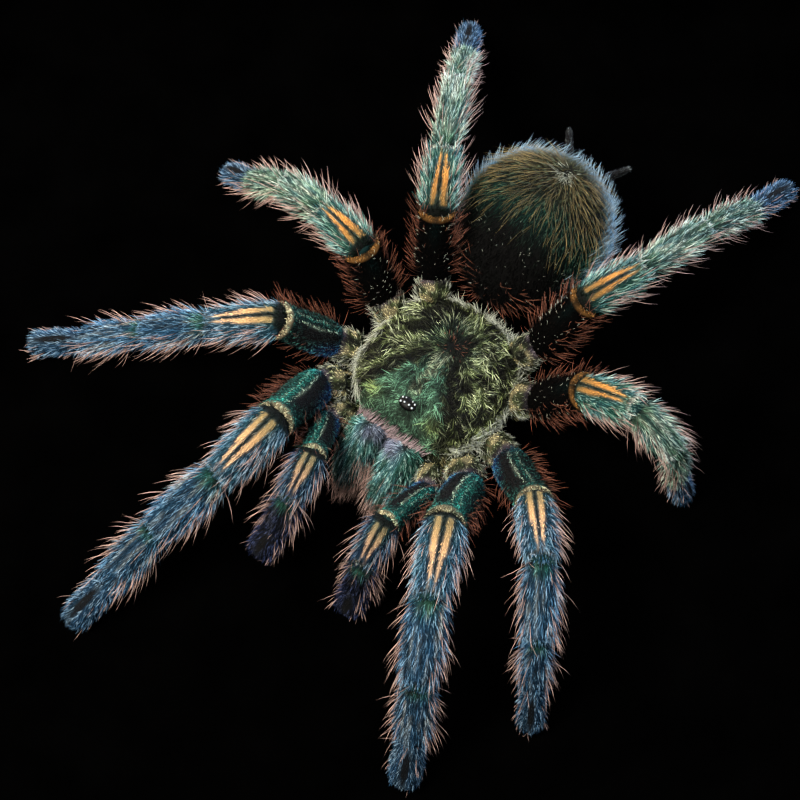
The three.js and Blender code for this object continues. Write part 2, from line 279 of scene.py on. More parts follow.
def glossMaterial(name, colour, roughness, coat, specular=0.5):
    # bare chitin, eye lens or joint skin: one deep colour, faintly specked, under its own gloss
    material, tree, shader = newMaterial(name)
    where = addNode(tree, "ShaderNodeTexCoord")
    speck = addNode(tree, "ShaderNodeTexNoise", {"Scale": 1 / (0.5 * mm), "Detail": 3.0},
                    {"Vector": where.outputs["Object"]})
    brighter = [part * 1.6 for part in linear(colour)[:3]] + [1.0]
    tint = mixColours(tree, speck.outputs["Fac"], linear(colour), brighter)
    tree.links.new(tint, shader.inputs["Base Color"])
    shader.inputs["Roughness"].default_value = roughness
    shader.inputs["Specular IOR Level"].default_value = specular
    shader.inputs["Coat Weight"].default_value = coat
    shader.inputs["Coat Roughness"].default_value = 0.03
    return material


gloss = {
    "black": glossMaterial("chitin_polished_black", "#060607", 0.15, 1.0),
    "mound": glossMaterial("chitin_smooth_black", "#010101", 0.5, 0.0, 0.08),
    # the pale lens is partly the eyes' own silvery colour and partly a painted highlight on each
    # eye
    "lens": glossMaterial("cornea_pale_with_painted_glint", "#7c8284", 0.2, 0.3),
    "membrane": glossMaterial("joint_skin_lilac_grey", "#2c262e", 0.6, 0.0, 0.1),
    "darkSkin": glossMaterial("joint_skin_dark", "#0a1818", 0.9, 0.0, 0.0),
}
print("materials ready")


# ---- growing hair from arrays ----

def unit(rows):
    return rows / np.maximum(np.linalg.norm(rows, axis=1, keepdims=True), 1e-12)


def smoothStep(low, high, value):
    t = np.clip((value - low) / (high - low), 0, 1)
    return t * t * (3 - 2 * t)


def clump(points, seed):
    # smooth random patches of about one unit of the points given, from 0 to 1
    waves = np.random.default_rng(seed)
    total = 0
    for _ in range(7):
        direction = unit(waves.standard_normal((1, 3)))[0] * math.tau / (0.8 + 1.2 * waves.random())
        total = total + np.cos(points @ direction + math.tau * waves.random())
    return 0.5 + 0.5 * np.tanh(total / 2.2)


def zones(roots, **masks):
    # rows of mark, ring, shade, glow, run and clump; what isn't given is zero
    rows = np.zeros((len(roots["points"]), 6))
    for column, key in enumerate(("mark", "ring", "shade", "glow", "run", "clump")):
        if key in masks:
            rows[:, column] = np.clip(masks[key], 0, 1)
    return rows


def bodyFromMesh(mesh):
    # points, normals and triangles that hair can grow from
    mesh.calc_loop_triangles()
    body = {}
    for key, source, field, kind in (("points", mesh.vertices, "co", float),
                                     ("normals", mesh.vertices, "normal", float),
                                     ("triangles", mesh.loop_triangles, "vertices", np.int64)):
        values = np.empty(len(source) * 3, dtype=kind)
        source.foreach_get(field, values)
        body[key] = values.reshape(-1, 3)
    return body


def scatter(body, style):
    # random roots on the skin: style has a count, or a density for each square millimetre
    corners = body["points"][body["triangles"]]
    cross = np.cross(corners[:, 1] - corners[:, 0], corners[:, 2] - corners[:, 0])
    weight = np.linalg.norm(cross, axis=1) / 2 / mm ** 2
    if style.get("weigh"):
        centres = {key: body[key][body["triangles"]].mean(axis=1)
                   for key in ("points", "normals", "place")}
        weight = weight * style["weigh"](centres)
    count = style["count"] if "count" in style else int(weight.sum() * style["density"])
    pick = random.choice(len(weight), count, p=weight / weight.sum())
    share = random.random((count, 2))
    over = share.sum(axis=1) > 1
    share[over] = 1 - share[over]
    parts = np.column_stack([1 - share.sum(axis=1), share])[:, :, None]
    chosen = body["triangles"][pick]
    roots = {key: (body[key][chosen] * parts).sum(axis=1) for key in ("points", "normals", "place")}
    roots["normals"] = unit(roots["normals"])
    return roots


def growHair(roots, style, aim, cover, slot):
    # closed three-sided strands that taper to a point; rings is 1 for short pile, more for a curve
    count = len(roots["points"])
    normal = roots["normals"]
    flat = unit(aim - normal * (aim * normal).sum(axis=1, keepdims=True))
    jitter = np.radians(style["jitter"]) * random.standard_normal((count, 2))
    angle = math.radians(style["lift"]) + jitter[:, :1] * 0.6
    swing = np.cross(normal, flat) * jitter[:, 1:]
    heading = unit(flat * np.cos(angle) + normal * np.sin(angle) + swing)
    low, high = style["lengthMm"]
    length = mm * (low + (high - low) * random.random((count, 1)) ** style.get("longRare", 1.0))
    if "trim" in style:
        length = length * (1 - style["trim"](roots, cover))[:, None]
    width, rings, curl = style["widthMm"] * mm, style.get("rings", 1), style.get("curl", 0.0)
    bend = (flat - normal * 0.3) * curl
    side = unit(np.cross(heading, normal))
    up = unit(np.cross(side, heading))
    layers = []
    for ring in range(rings):
        t = ring / rings
        centre = roots["points"] + (heading * t + bend * t * t) * length
        centre = centre - normal * (width * 0.5 if ring == 0 else 0)
        for turn in np.radians([210, 330, 90]):
            spoke = side * math.cos(turn) + up * math.sin(turn)
            layers.append(centre + spoke * width * 0.5 * (1 - t) ** 0.6)
    layers.append(roots["points"] + (heading + bend) * length)
    points = np.stack(layers, axis=1)
    stride = points.shape[1]
    faces = [(0, 1, 2)]
    for ring in range(rings - 1):
        for k in range(3):
            a, b = 3 * ring + k, 3 * ring + (k + 1) % 3
            faces += [(b, a, a + 3), (b, a + 3, b + 3)]
    last = 3 * (rings - 1)
    faces += [(last + (k + 1) % 3, last + k, 3 * rings) for k in range(3)]
    triangles = (np.arange(count)[:, None, None] * stride + np.array(faces)[None]).reshape(-1, 3)
    reach = np.tile([ring / rings for ring in range(rings) for _ in range(3)] + [1.0], count)
    tone = random.random(count) ** style.get("darkMost", 1.5)
    lit = np.maximum(cover[:, 0], cover[:, 1] * 0.6) * style.get("litMarks", 1.0)
    tone = np.repeat(tone + (0.5 - 0.45 * tone) * lit, stride)    # few dark hairs in the pale marks
    return {"points": points.reshape(-1, 3), "triangles": triangles,
            "cover": np.repeat(cover, stride, axis=0),
            "strand": np.column_stack([tone, reach, reach * 0 + 1]),
            "slot": np.full(len(triangles), slot)}


def hairPart(body, coverAt, style, aimAt, slot=0):
    roots = scatter(body, style)
    return growHair(roots, style, aimAt(roots), coverAt(roots), slot)


def grownParts(body, coverAt, settings, rows):
    # each row: which hair of the settings, where it is thick, where it points, slot of its material
    return [hairPart(body, coverAt, {**settings[key], "weigh": weigh}, aimAt, slot)
            for key, weigh, aimAt, slot in rows]


def pointing(direction):
    # hair that all points one way
    return lambda roots: np.tile(direction, (len(roots["points"]), 1))


def awayFrom(centre, rise=0.0):
    # hair that points away from a place, with little or no rise
    return lambda roots: unit((roots["points"] - np.array(centre)) * [1, 1, rise])


# the skin takes the darkness of the strands' roots: its own dark colour and painted shade under the
# hair
skinSettings = {"reach": 0.1, "litTone": 0.1, "litReach": 0.35}


def skinPart(body, coverAt, tone=0.15, slot=0, lit=0.0):
    cover = coverAt(body)
    glow = cover[:, 0] * (1 - cover[:, 2]) * lit    # pale stripes show between their hairs
    strand = np.column_stack([tone + skinSettings["litTone"] * glow,
                              skinSettings["reach"] + skinSettings["litReach"] * glow, glow * 0])
    return {"points": body["points"], "triangles": body["triangles"], "cover": cover,
            "strand": strand, "slot": np.full(len(body["triangles"]), slot)}


def joinParts(name, parts, materials):
    # one mesh object from the skin and its hair
    offsets = np.cumsum([0] + [len(part["points"]) for part in parts])
    points = np.concatenate([part["points"] for part in parts])
    triangles = np.concatenate([part["triangles"] + start for part, start in zip(parts, offsets)])
    cover = np.concatenate([part["cover"] for part in parts])
    mesh = bpy.data.meshes.new(name)
    mesh.vertices.add(len(points))
    mesh.vertices.foreach_set("co", points.ravel())
    mesh.loops.add(triangles.size)
    mesh.loops.foreach_set("vertex_index", triangles.ravel())
    mesh.polygons.add(len(triangles))
    mesh.polygons.foreach_set("loop_start", np.arange(len(triangles)) * 3)
    mesh.polygons.foreach_set("material_index",
                              np.concatenate([part["slot"] for part in parts]).astype(np.int32))
    mesh.polygons.foreach_set("use_smooth", np.ones(len(triangles), dtype=bool))
    for key, values in (("cover", cover[:, :3]), ("grain", cover[:, 3:]),
                        ("strand", np.concatenate([part["strand"] for part in parts]))):
        mesh.attributes.new(key, "FLOAT_VECTOR", "POINT").data.foreach_set("vector", values.ravel())
    mesh.update(calc_edges=True)
    for material in materials:
        mesh.materials.append(material)
    piece = bpy.data.objects.new(name, mesh)
    bpy.context.collection.objects.link(piece)
    return piece


def finishPiece(piece, slot, *nodes):
    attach(piece, "root")
    if nodes:
        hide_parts(*nodes)
    return piece


# ---- where the body and the limbs are, from the CAD nodes ----

def nodeAxis(node, near):
    # the two ends of a long round node, the end nearest to a point first, and its radius
    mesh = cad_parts[node].data
    points = np.empty(len(mesh.vertices) * 3)
    mesh.vertices.foreach_get("co", points)
    points = points.reshape(-1, 3)
    centred = points - points.mean(axis=0)
    reach = centred @ np.linalg.svd(centred, full_matrices=False)[2][0]
    ends = sorted([Vector(points[reach.argmin()]), Vector(points[reach.argmax()])],
                  key=lambda end: (end - near).length)
    along = np.array((ends[1] - ends[0]).normalized())
    offset = points - np.array(ends[0])
    radius = np.linalg.norm(offset - np.outer(offset @ along, along), axis=1).max()
    return ends[0], ends[1], radius


legNames = ["leg_" + side + str(number) for side in "RL" for number in (1, 2, 3, 4)]
palpNames = ["palp_R", "palp_L"]
legSegments = ["femur", "patella", "tibia", "metatarsus", "tarsus"]
palpSegments = ["femur", "patella", "tibia", "tarsus"]


def limbJoints(limb):
    # the joints from the hip to the tip, and each segment's radius
    names = palpSegments if limb in palpNames else legSegments
    near = middle("sternum_and_coxae")
    axes = []
    for name in names:
        axis = nodeAxis(limb + "_" + name, near)
        axes.append(axis)
        near = axis[1]
    between = [(one[1] + two[0]) / 2 for one, two in zip(axes, axes[1:])]
    joints = [axes[0][0]] + between + [axes[-1][1]]
    return names, joints, [axis[2] for axis in axes]


limbs = {limb: limbJoints(limb) for limb in legNames + palpNames}
forward = (limbs["leg_R1"][1][0] + limbs["leg_L1"][1][0]
           - limbs["leg_R4"][1][0] - limbs["leg_L4"][1][0])
forward.z = 0
forward.normalize()
left = Vector((0, 0, 1)).cross(forward)
forwardRow, leftRow = np.array(forward), np.array(left)
bodyCentre = middle("carapace")
print("limbs found:", len(limbs))


def fromBody(points, centre):
    # forward, left and up in millimetres from a centre
    offset = (points - np.array(centre)) / mm
    return np.column_stack([offset @ forwardRow, offset @ leftRow, offset[:, 2]])


# ---- the frame and the board ----

frameSettings = {
    "edgeRadiusMm": 0.7, "segments": 4,
    "closeMm": 0.43,                        # how much longer each rail is, so that the mitres close
    "longEdge": 0.1, "topMm": 2,            # only long edges near the top are rounded
    "flatDegrees": 2, "sharpDegrees": 32,
}


def lacquerMaterial():
    # beech under black lacquer, sprayed and rubbed down: a satin sheen over a faint long grain
    material, tree, shader = newMaterial("beech_black_lacquer_rubbed")
    where = addNode(tree, "ShaderNodeTexCoord")
    grain = addNode(tree, "ShaderNodeTexNoise",
                    {"Scale": 1 / (1.2 * mm), "Detail": 5.0, "Roughness": 0.6},
                    {"Vector": where.outputs["Object"]})
    smear = addNode(tree, "ShaderNodeTexNoise", {"Scale": 1 / (14 * mm), "Detail": 4.0},
                    {"Vector": where.outputs["Object"]})
    rough = addNode(tree, "ShaderNodeMapRange", {"To Min": 0.46, "To Max": 0.6},
                    {"Value": smear.outputs["Fac"]})
    bump = addNode(tree, "ShaderNodeBump", {"Strength": 0.25, "Distance": 0.06 * mm},
                   {"Height": grain.outputs["Fac"]})
    tint = mixColours(tree, smear.outputs["Fac"], linear("#09090a"), linear("#121112"))
    tree.links.new(tint, shader.inputs["Base Color"])
    tree.links.new(rough.outputs[0], shader.inputs["Roughness"])
    tree.links.new(bump.outputs[0], shader.inputs["Normal"])
    shader.inputs["Specular IOR Level"].default_value = 0.06
    return material


def flockMaterial():
    # card flocked in black: short upright fibres that swallow the light, with a faint mottled nap
    material, tree, shader = newMaterial("card_flocked_black")
    where = addNode(tree, "ShaderNodeTexCoord")
    nap = addNode(tree, "ShaderNodeTexNoise", {"Scale": 1 / (9 * mm), "Detail": 5.0},
                  {"Vector": where.outputs["Object"]})
    fibre = addNode(tree, "ShaderNodeTexNoise", {"Scale": 1 / (0.25 * mm), "Detail": 2.0},
                    {"Vector": where.outputs["Object"]})
    tint = mixColours(tree, nap.outputs["Fac"], linear("#000000"), linear("#010101"))
    bump = addNode(tree, "ShaderNodeBump", {"Strength": 0.6, "Distance": 0.1 * mm},
                   {"Height": fibre.outputs["Fac"]})
    tree.links.new(tint, shader.inputs["Base Color"])
    tree.links.new(bump.outputs[0], shader.inputs["Normal"])
    shader.inputs["Roughness"].default_value = 1.0
    shader.inputs["Specular IOR Level"].default_value = 0.0
    return material


def copyOfNode(node):
    # a merged copy of a CAD node's mesh
    work = bmesh.new()
    work.from_mesh(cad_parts[node].data)
    bmesh.ops.remove_doubles(work, verts=work.verts, dist=1e-6)
    return work


def objectFrom(work, name):
    mesh = bpy.data.meshes.new(name)
    work.to_mesh(mesh)
    work.free()
    piece = bpy.data.objects.new(name, mesh)
    bpy.context.collection.objects.link(piece)
    return piece


def makeFrame():
    lacquer = lacquerMaterial()
    for where in ("front", "right", "back", "left"):
        node = "frame_rail_" + where
        work = copyOfNode(node)
        bmesh.ops.dissolve_limit(work, angle_limit=math.radians(frameSettings["flatDegrees"]),
                                 verts=work.verts, edges=work.edges)
        rowsOf = np.array([vert.co for vert in work.verts])
        long = int(np.ptp(rowsOf[:, :2], axis=0).argmax())
        grown = 1 + frameSettings["closeMm"] * mm / np.ptp(rowsOf[:, long])
        bmesh.ops.scale(work, vec=(grown if long == 0 else 1, grown if long == 1 else 1, 1),
                        verts=work.verts)
        top = max(vert.co.z for vert in work.verts)
        raised = [edge for edge in work.edges
                  if edge.calc_length() > frameSettings["longEdge"]
                  and edge.verts[0].co.z > top - frameSettings["topMm"] * mm]
        bmesh.ops.bevel(work, geom=raised, offset=frameSettings["edgeRadiusMm"] * mm,
                        offset_type="OFFSET",
                        affect="EDGES", segments=frameSettings["segments"], profile=0.5,
                        material=-1)
        bmesh.ops.recalc_face_normals(work, faces=work.faces)
        rail = objectFrom(work, "lacquered_rail_" + where)
        rail.data.materials.append(lacquer)
        rail.data.shade_smooth()
        rail.data.set_sharp_from_angle(angle=math.radians(frameSettings["sharpDegrees"]))
        finishPiece(rail, "frame_lacquer", node)
    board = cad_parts["backing_board"]
    board.data.materials.clear()
    board.data.materials.append(flockMaterial())


makeFrame()
print("frame made")


# ---- the limbs ----

# each outline runs from joint to joint: (share of the length, share of the radius)
outlines = {
    "femur": [(-0.03, 0), (-0.02, 0.4), (0.02, 0.66), (0.10, 0.84), (0.25, 0.97), (0.48, 1.0),
              (0.75, 0.94), (0.9, 0.92), (0.945, 0.99), (0.975, 1.0), (0.99, 0.9), (0.98, 0.6),
              (0.97, 0)],
    "patella": [(-0.15, 0), (-0.14, 0.4), (-0.09, 0.76), (-0.02, 0.93), (0.08, 0.99), (0.4, 1.0),
                (0.7, 0.96), (0.88, 0.86), (0.95, 0.86), (0.985, 0.84), (1.0, 0.72), (0.99, 0.5),
                (0.98, 0)],
    "tibia": [(-0.03, 0), (-0.02, 0.4), (0.01, 0.64), (0.06, 0.78), (0.2, 0.92), (0.5, 1.0),
              (0.75, 0.97), (0.9, 0.88), (0.96, 0.86), (0.985, 0.82), (1.0, 0.72), (0.99, 0.5),
              (0.98, 0)],
    "metatarsus": [(-0.03, 0), (-0.02, 0.4), (0.01, 0.6), (0.06, 0.76), (0.25, 0.92), (0.6, 1.0),
                   (0.85, 0.95), (0.95, 0.88), (0.985, 0.8), (1.0, 0.7), (0.99, 0.5), (0.98, 0)],
    "tarsus": [(-0.03, 0), (-0.02, 0.4), (0.01, 0.62), (0.07, 0.84), (0.3, 0.97), (0.6, 1.0),
               (0.8, 0.96), (0.9, 0.84), (0.96, 0.62), (0.99, 0.35), (1.0, 0)],
    "trochanter": [(0.0, 0), (0.02, 0.5), (0.1, 0.82), (0.3, 0.98), (0.55, 1.0), (0.8, 0.9),
                   (0.92, 0.74), (0.97, 0.4), (1.0, 0)],
}
limbSettings = {"steps": 32, "points": 30, "flatten": 0.96}


def topWeight(centres):
    # the underside, which is hidden, carries less hair
    return 0.35 + 0.65 * smoothStep(-0.6, 0.1, centres["place"][:, 2])


def flankWeight(centres):
    place = centres["place"]
    return (0.1 + place[:, 1] ** 2) * (place[:, 2] < 0.8) * (place[:, 0] > 0.05)


def behindWeight(front):
    # the flank that faces away from the head carries most of the long setae
    def weigh(centres):
        place = centres["place"]
        away = -place[:, 1] * front
        return ((0.04 + 0.25 * (away < -0.6) + 1.0 * smoothStep(0.2, 0.9, away))
                * (place[:, 2] < 0.6))
    return weigh


def trimMarks(roots, cover):
    # the pale stripes are close cropped
    return 0.5 * np.maximum(cover[:, 0], cover[:, 1])


def trimShade(roots, cover):
    # the dark pad on top of a foot is nearly bare
    return 0.65 * cover[:, 2]


limbHair = {
    "velvet": {"density": 24, "lengthMm": (0.4, 0.8), "widthMm": 0.10, "lift": 22, "jitter": 18,
               "weigh": topWeight},
    "under": {"density": 11, "lengthMm": (0.5, 1.0), "widthMm": 0.095, "lift": 13, "jitter": 14,
              "weigh": topWeight, "trim": trimMarks},
    "over": {"density": 5.2, "lengthMm": (1.0, 2.0), "widthMm": 0.085, "lift": 20, "jitter": 11,
             "rings": 2, "curl": 0.1, "weigh": topWeight, "trim": trimMarks},
    "foot": {"density": 13, "lengthMm": (0.6, 1.1), "widthMm": 0.11, "lift": 28, "jitter": 14,
             "weigh": topWeight, "trim": trimShade},
    "fuzz": {"count": 190, "lengthMm": (1.0, 2.3), "widthMm": 0.085, "lift": 38, "jitter": 13,
             "rings": 2, "curl": 0.15, "weigh": flankWeight, "darkMost": 0.7},
    "setae": {"count": 115, "lengthMm": (1.7, 4.4), "widthMm": 0.08, "lift": 40, "jitter": 14,
              "rings": 3, "curl": 0.3, "weigh": flankWeight, "longRare": 1.5, "darkMost": 0.8},
    "fringe": {"count": 200, "lengthMm": (1.4, 3.4), "widthMm": 0.08, "lift": 50, "jitter": 16,
               "rings": 3, "curl": 0.25, "darkMost": 1.3},
    "specks": {"count": 60, "lengthMm": (0.5, 1.1), "widthMm": 0.075, "lift": 40, "jitter": 15,
               "weigh": lambda centres: (centres["place"][:, 2] > 0.0) * 1.0, "darkMost": 0.5},
}


def smoothOutline(outline, count):
    # more points along a smooth curve through the given ones
    rows = np.array(outline)
    span = np.concatenate([[0], np.cumsum(np.linalg.norm(np.diff(rows * [6, 1], axis=0), axis=1))])
    at = np.linspace(0, span[-1], count)
    index = np.clip(np.searchsorted(span, at, side="right") - 1, 0, len(rows) - 2)
    step = (span[index + 1] - span[index])[:, None]
    t = (at - span[index])[:, None] / step
    slopes = np.gradient(rows, span, axis=0)
    curve = ((2 * t ** 3 - 3 * t ** 2 + 1) * rows[index]
             + (t ** 3 - 2 * t ** 2 + t) * step * slopes[index]
             + (3 * t ** 2 - 2 * t ** 3) * rows[index + 1]
             + (t ** 3 - t ** 2) * step * slopes[index + 1])
    curve[1:-1, 1] = np.maximum(curve[1:-1, 1], 0.02)
    curve[0], curve[-1] = rows[0], rows[-1]
    return curve


def spunBody(outline, start, end, radius, steps, points):
    # an outline spun round the line from start to end; place is along, side and height
    length = (end - start).length
    work = bmesh.new()
    chain = [work.verts.new((x * length, 0, r * radius)) for x, r in smoothOutline(outline, points)]
    edges = [work.edges.new(pair) for pair in zip(chain, chain[1:])]
    bmesh.ops.spin(work, geom=chain + edges, cent=(0, 0, 0), axis=(1, 0, 0), angle=math.tau,
                   steps=steps, use_merge=True)
    bmesh.ops.remove_doubles(work, verts=work.verts, dist=1e-7)
    bmesh.ops.recalc_face_normals(work, faces=work.faces)
    mesh = bpy.data.meshes.new("spun")
    work.to_mesh(mesh)
    work.free()
    body = bodyFromMesh(mesh)
    bpy.data.meshes.remove(mesh)
    body["place"] = body["points"] / [length, radius, radius]
    along = (end - start).normalized()
    dorsal = (Vector((0, 0, 1)) - along * along.z).normalized()
    turn = np.array(Matrix((along, dorsal.cross(along), dorsal)).transposed())
    body["points"] = (body["points"] * [1, 1, limbSettings["flatten"]]) @ turn.T + np.array(start)
    body["normals"] = body["normals"] @ turn.T
    body["along"] = np.array(along)
    return body


def isRear(limb):
    return limb[-1] in "34"


def headSide(limb):
    # which side of a limb faces the head
    return 1 if "_R" in limb else -1


def segmentCover(limb, segment, length, seed):
    # the markings of a segment: stripes, pale rings, dark bands and the clumps of its hair
    rear, front = isRear(limb), headSide(limb)
    sheen = 0.25 if limb[-1] == "2" else 1.0    # the second legs have darker thighs

    def cover(roots):
        along, side, height = roots["place"].T
        top = smoothStep(-0.15, 0.25, height)
        streaks = clump(np.column_stack([along * length / 4, side * 3.2, height * 1.2]), seed)
        masks = {"clump": streaks, "run": along}
        if segment == "patella":
            t = np.clip((along - 0.02) / 0.84, 0, 1)
            centre = 0.32 - 0.15 * t
            half = 0.18 * np.clip(1 - t ** 3.2, 0, 1) ** 0.8
            if rear:
                half = half * np.where(side * front < 0, 1.25, 0.75)
            apart = np.abs(np.abs(side) - centre)
            begun = smoothStep(-0.06, -0.02, along)
            masks["mark"] = smoothStep(0.03, -0.03, apart - half) * top * begun
            between = (smoothStep(0.04, -0.04, np.abs(side) - (centre - half))
                       * smoothStep(0.95, 0.8, t))
            edge = smoothStep(0.10, 0.03, np.abs(apart - half - 0.05)) * smoothStep(1.0, 0.8, t)
            masks["shade"] = np.maximum(between, 0.55 * edge) * top * 0.9 * (1 - masks["mark"])
            masks["ring"] = smoothStep(0.95, 0.98, along) * top * (0.9 if rear else 0.3)
            masks["glow"] = smoothStep(0.55, 0.0, along) * smoothStep(0.85, 0.5, np.abs(side)) * 0.6
            masks["shade"] = np.maximum(masks["shade"], smoothStep(-0.02, -0.06, along))
        elif segment in ("tibia", "metatarsus"):
            lines = clump(np.column_stack([along * length / 9, side * 5.0, height * 0.5]), seed + 7)
            masks["mark"] = smoothStep(0.72, 0.9, lines) * top * (0.8 if rear else 0.55)
            masks["ring"] = smoothStep(0.95, 0.985, along) * (0.9 if rear else 0.25) * top
            fresh = 0.30 if segment == "tibia" else 0.16
            masks["glow"] = smoothStep(fresh, 0.0, along) * smoothStep(0.8, 0.3, np.abs(side)) * 0.9
            masks["shade"] = (smoothStep(0.07, 0.0, along) * 0.7
                              + 0.6 * smoothStep(0.28, 0.12, lines))
        elif segment == "tarsus":
            oval = ((along - 0.48) / 0.34) ** 2 + (side / 0.26) ** 2
            masks["shade"] = smoothStep(1.25, 0.8, oval) * top * 0.95
            masks["ring"] = smoothStep(0.6, 0.2, np.abs(oval - 1.5)) * top * 0.35
        elif segment == "femur" and not rear:
            line = 0.30 * np.sin(np.pi * along * 0.9) - 0.14
            toFront = side * front - line
            second = toFront + 0.42
            thin = (smoothStep(0.07, 0.03, np.abs(toFront))
                    + 0.6 * smoothStep(0.06, 0.02, np.abs(second)))
            masks["mark"] = (thin * top * smoothStep(0.12, 0.25, along)
                             * smoothStep(0.92, 0.8, along) * 0.8)
            masks["shade"] = (smoothStep(0.0, 0.16, toFront) * smoothStep(0.95, 0.45, toFront)
                              * smoothStep(0.98, 0.7, along) * 0.97)
            masks["shade"] = np.maximum(masks["shade"], smoothStep(0.0, -0.1, second) * 0.5)
            masks["glow"] = (smoothStep(0.62, 0.08, along) * smoothStep(0.35, 0.85, toFront)
                             + 0.4 * smoothStep(0.3, 0.0, along))
            # the teal strip behind the pale line, lighter on top: partly the femur's own iridescent
            # teal, partly painted top light
            tealStripLitOnTop = np.exp(-((toFront + 0.42) / 0.34) ** 2) * smoothStep(-0.2, 0.3, height)
            knee = 0.35 * smoothStep(0.7, 0.95, along)
            masks["clump"] = (tealStripLitOnTop * (0.55 + 0.45 * streaks) + knee) * sheen
            start = 0.975 - 0.35 / length
            masks["ring"] = (smoothStep(start, start + 0.02, along + 0.012 * np.cos(6 * side))
                             * smoothStep(-0.6, 0, height) * (0.5 + 0.5 * streaks))
            masks["shade"] = masks["shade"] * (1 - masks["glow"]) * (1 - masks["ring"])
        elif segment == "femur":
            start = 0.975 - 0.3 / length
            masks["ring"] = (smoothStep(start, start + 0.02, along + 0.012 * np.cos(6 * side))
                             * smoothStep(-0.2, 0.3, height) * 0.9)
            masks["glow"] = smoothStep(0.5, 0.9, along) * smoothStep(0.5, 0.0, np.abs(side)) * 0.8
        elif segment == "trochanter":
            spots = clump(roots["points"] / (1.6 * mm), seed + 3)
            masks["mark"] = smoothStep(0.55, 0.85, spots) * top
            masks["glow"] = smoothStep(0.55, 0.75, along) * smoothStep(0.1, 0.6, height) * 0.9
            masks["shade"] = smoothStep(0.45, 0.15, spots) * 0.7 + smoothStep(0.2, 0.0, along) * 0.5
        return zones(roots, **masks)

    return cover


def segmentFinish(limb, segment):
    if segment == "trochanter":
        return "coxa"
    if limb in palpNames:
        return {"femur": "frontFemur", "patella": "palpPatella"}.get(segment, "palpFoot")
    if segment == "tarsus":
        return "foot"
    kind = {"femur": "Femur", "patella": "Patella"}.get(segment, "Shank")
    return ("rear" if isRear(limb) else "front") + kind


def segmentHair(limb, segment):
    # which hair grows on a segment: (style, changes to it, slot of its material)
    rear = isRear(limb)
    small = 0.6 if limb in palpNames else 1.0
    if segment == "trochanter":
        return [("under", {"density": 15, "lift": 22, "jitter": 25, "lengthMm": (0.4, 0.9)}, 0),
                ("fuzz", {"count": 130, "lengthMm": (0.7, 1.5), "widthMm": 0.06, "lift": 36,
                          "jitter": 25, "darkMost": 1.3}, 2)]
    if segment == "femur" and rear:
        return [("under", {"lift": 25}, 0), ("specks", {}, 2),
                ("fringe", {"count": 215, "weigh": flankWeight, "lengthMm": (1.4, 3.4)}, 1)]
    if segment == "femur":
        fringe = {"count": int(190 * small), "weigh": behindWeight(headSide(limb))}
        return [("velvet", {}, 0), ("fringe", fringe, 1)]
    if segment == "tarsus":
        return [("foot", {}, 0), ("fuzz", {"lengthMm": (0.8, 1.5), "lift": 34}, 0),
                ("setae", {"count": 32, "lengthMm": (1.2, 2.4)}, 1)]
    return [("under", {}, 0), ("over", {}, 0), ("fuzz", {"count": int(190 * small)}, 0),
            ("setae", {"count": int(125 * small)}, 1)]


slotOfSegment = {"patella": "patella_pile", "tibia": "shank_pile", "metatarsus": "shank_pile",
                 "tarsus": "foot_pile", "trochanter": "coxa_pile"}


def makeSegment(limb, segment, start, end, radius, seed):
    body = spunBody(outlines[segment], start, end, radius, limbSettings["steps"],
                    limbSettings["points"])
    cover = segmentCover(limb, segment, (end - start).length / mm, seed)
    ahead = pointing(body["along"])
    parts = [skinPart(body, cover, lit=1.0 if segment == "patella" else 0.0)]
    for style, changes, slot in segmentHair(limb, segment):
        parts.append(hairPart(body, cover, {**limbHair[style], **changes}, ahead, slot))
    main = "rust" if segment == "femur" else "pink"
    piece = joinParts("haired_" + limb + "_" + segment, parts,
                      [coats[segmentFinish(limb, segment)], bristles[main], bristles["pale"]])
    slot = slotOfSegment.get(segment) or ("rear_femur_pile" if isRear(limb) else "front_femur_pile")
    nodes = [] if segment == "trochanter" else [limb + "_" + segment]
    return finishPiece(piece, slot, *nodes)


jointSettings = {"share": 0.68, "reachMm": 1.2, "hipShare": 0.3, "lift": 25, "steps": 20,
                 "points": 12}
jointOutline = [(0, 0), (0.06, 0.5), (0.25, 0.9), (0.5, 1.0), (0.75, 0.9), (0.94, 0.5), (1, 0)]


def makeJointSkin(limb, names, joints, radii):
    # the soft skin between the hard rings, with short hair from the knee outward
    parts = []
    ground = lambda roots: zones(roots, clump=clump(roots["points"] / mm, 61))
    for index in range(len(radii)):
        radius = radii[index] * jointSettings["share"]
        if index:
            radius = min(radii[index - 1], radii[index]) * jointSettings["share"]
        thigh = joints[1] - joints[0]
        before = joints[index - 1] if index else joints[0] - thigh * jointSettings["hipShare"]
        along = (joints[index + 1] - before).normalized() * jointSettings["reachMm"] * mm
        body = spunBody(jointOutline, joints[index] - along, joints[index] + along, radius,
                        jointSettings["steps"], jointSettings["points"])
        parts.append(skinPart(body, zones, slot=0 if index == 0 else 1))
        if index > 1:
            style = {**limbHair["under"], "lift": jointSettings["lift"]}
            parts.append(hairPart(body, ground, style, pointing(body["along"]), 2))
    piece = joinParts("joint_skin_" + limb, parts,
                      [gloss["membrane"], gloss["darkSkin"], coats[segmentFinish(limb, names[2])]])
    finishPiece(piece, "coxa_pile")


trochanterSettings = {"backMm": 3.4, "overMm": 1.1, "dropMm": 1.5, "share": 0.86}


def makeLimbs():
    seed = 100
    for limb, (names, joints, radii) in limbs.items():
        for index, segment in enumerate(names):
            seed += 10
            makeSegment(limb, segment, joints[index], joints[index + 1], radii[index], seed)
        hip = joints[0]
        inward = bodyCentre - hip
        inward.z = -trochanterSettings["dropMm"] * mm
        inward.normalize()
        outward = (joints[1] - hip).normalized()
        makeSegment(limb, "trochanter", hip + inward * trochanterSettings["backMm"] * mm,
                    hip + outward * trochanterSettings["overMm"] * mm,
                    radii[0] * trochanterSettings["share"], seed + 5)
        makeJointSkin(limb, names, joints, radii)


makeLimbs()
print("limbs made")


# ---- the body ----

